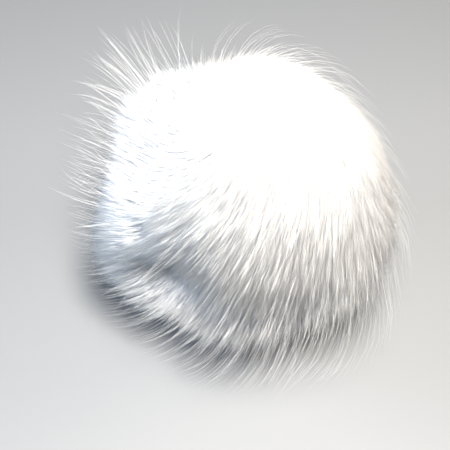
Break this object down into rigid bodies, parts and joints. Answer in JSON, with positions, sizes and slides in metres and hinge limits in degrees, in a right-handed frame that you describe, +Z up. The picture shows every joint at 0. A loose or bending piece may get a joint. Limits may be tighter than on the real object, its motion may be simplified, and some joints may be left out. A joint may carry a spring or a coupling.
{
  "type": "pom pom",
  "caption": "Round long-haired fur pom pom, combed over one way with a spiky side tuft, standing on its pressed underside.",
  "frame": {"origin": "centre of the pressed underside that the ball rests on", "axes": "+Z up, +X to the picture's right, +Y away from the viewer"},
  "size_m": [0.1318, 0.1315, 0.1209],
  "materials": {
    "white_fur": "long soft white fur, combed, silky at the tips"
  },
  "bodies": {
    "root": {"fur_ball": "white_fur"}
  },
  "joints": []
}
